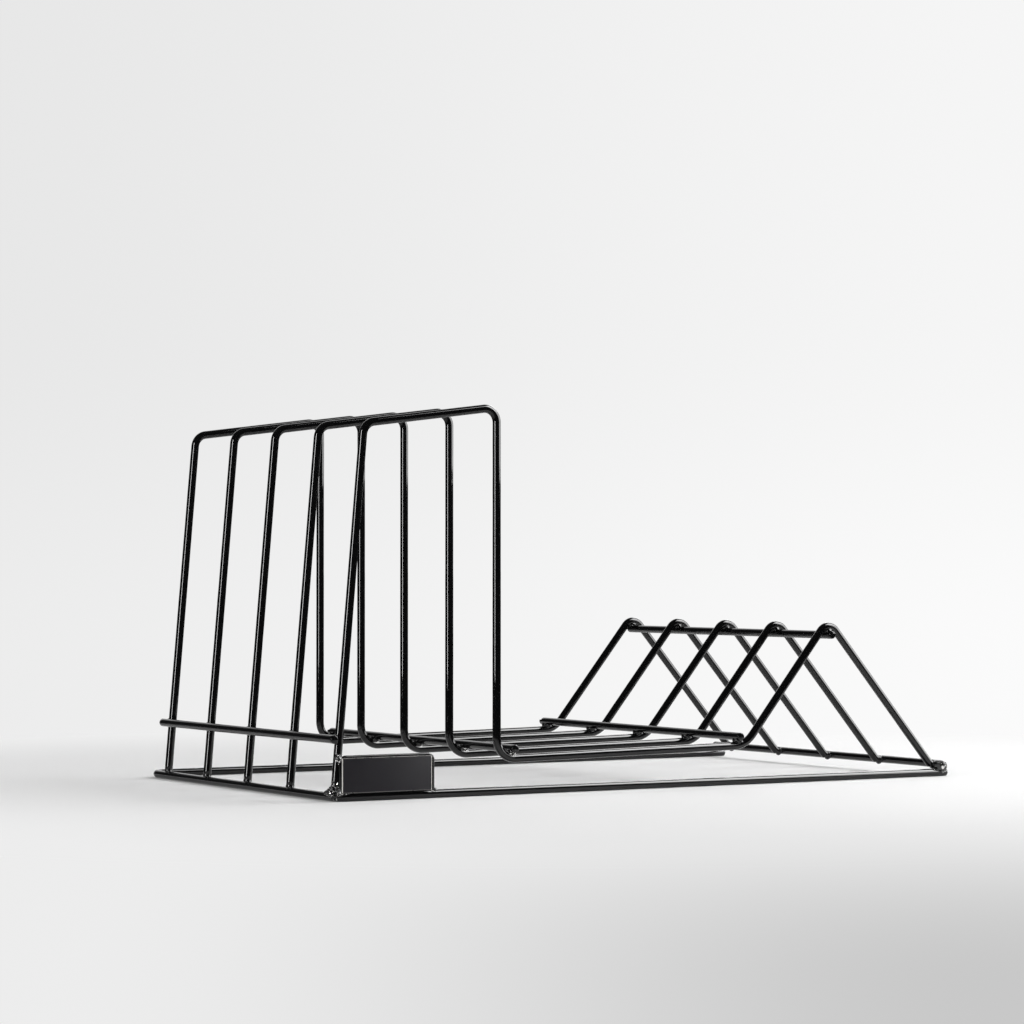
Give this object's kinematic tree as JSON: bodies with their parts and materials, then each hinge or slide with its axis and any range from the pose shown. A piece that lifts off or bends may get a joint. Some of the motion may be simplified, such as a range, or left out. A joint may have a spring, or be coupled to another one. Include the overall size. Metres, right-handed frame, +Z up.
{
  "type": "racket display stand",
  "caption": "Welded wire rack with side-by-side bent wires whose hoops, trays and peaks hold rackets on edge.",
  "frame": {"origin": "on the floor, at the middle of the stand's base", "axes": "+X runs along the stand from the hoops to the peaks, +Y from the front, where the plate is, to the back, and +Z is up"},
  "size_m": [0.3591, 0.2062, 0.1846],
  "materials": {
    "gloss_black_coat": "gloss black powder coat over round steel wire",
    "weld_black_coat": "the same gloss black coat over lumpy weld beads",
    "satin_black_plate": "satin charcoal black coat on a small bare sheet plate"
  },
  "bodies": {
    "root": {"base_wire": "gloss_black_coat", "base_right_rod": "gloss_black_coat", "profile_wire_1": "gloss_black_coat", "profile_wire_2": "gloss_black_coat", "profile_wire_3": "gloss_black_coat", "profile_wire_4": "gloss_black_coat", "profile_wire_5": "gloss_black_coat", "fence_rod": "gloss_black_coat", "tray_left_rod": "gloss_black_coat", "tray_right_rod": "gloss_black_coat", "peak_rod": "gloss_black_coat", "plate_frame_wire": "gloss_black_coat", "front_plate": "satin_black_plate", "weld_fence_1": "weld_black_coat", "weld_tray_left_1": "weld_black_coat", "weld_tray_right_1": "weld_black_coat", "weld_peak_1": "weld_black_coat", "weld_right_1": "weld_black_coat", "weld_foot_1": "weld_black_coat", "weld_fence_2": "weld_black_coat", "weld_tray_left_2": "weld_black_coat", "weld_tray_right_2": "weld_black_coat", "weld_peak_2": "weld_black_coat", "weld_right_2": "weld_black_coat", "weld_foot_2": "weld_black_coat", "weld_fence_3": "weld_black_coat", "weld_tray_left_3": "weld_black_coat", "weld_tray_right_3": "weld_black_coat", "weld_peak_3": "weld_black_coat", "weld_right_3": "weld_black_coat", "weld_foot_3": "weld_black_coat", "weld_fence_4": "weld_black_coat", "weld_tray_left_4": "weld_black_coat", "weld_tray_right_4": "weld_black_coat", "weld_peak_4": "weld_black_coat", "weld_right_4": "weld_black_coat", "weld_foot_4": "weld_black_coat", "weld_fence_5": "weld_black_coat", "weld_tray_left_5": "weld_black_coat", "weld_tray_right_5": "weld_black_coat", "weld_peak_5": "weld_black_coat", "weld_right_5": "weld_black_coat", "weld_foot_5": "weld_black_coat", "weld_base_back": "weld_black_coat", "weld_base_front": "weld_black_coat", "weld_frame_top": "weld_black_coat", "weld_frame_foot": "weld_black_coat"}
  },
  "joints": []
}
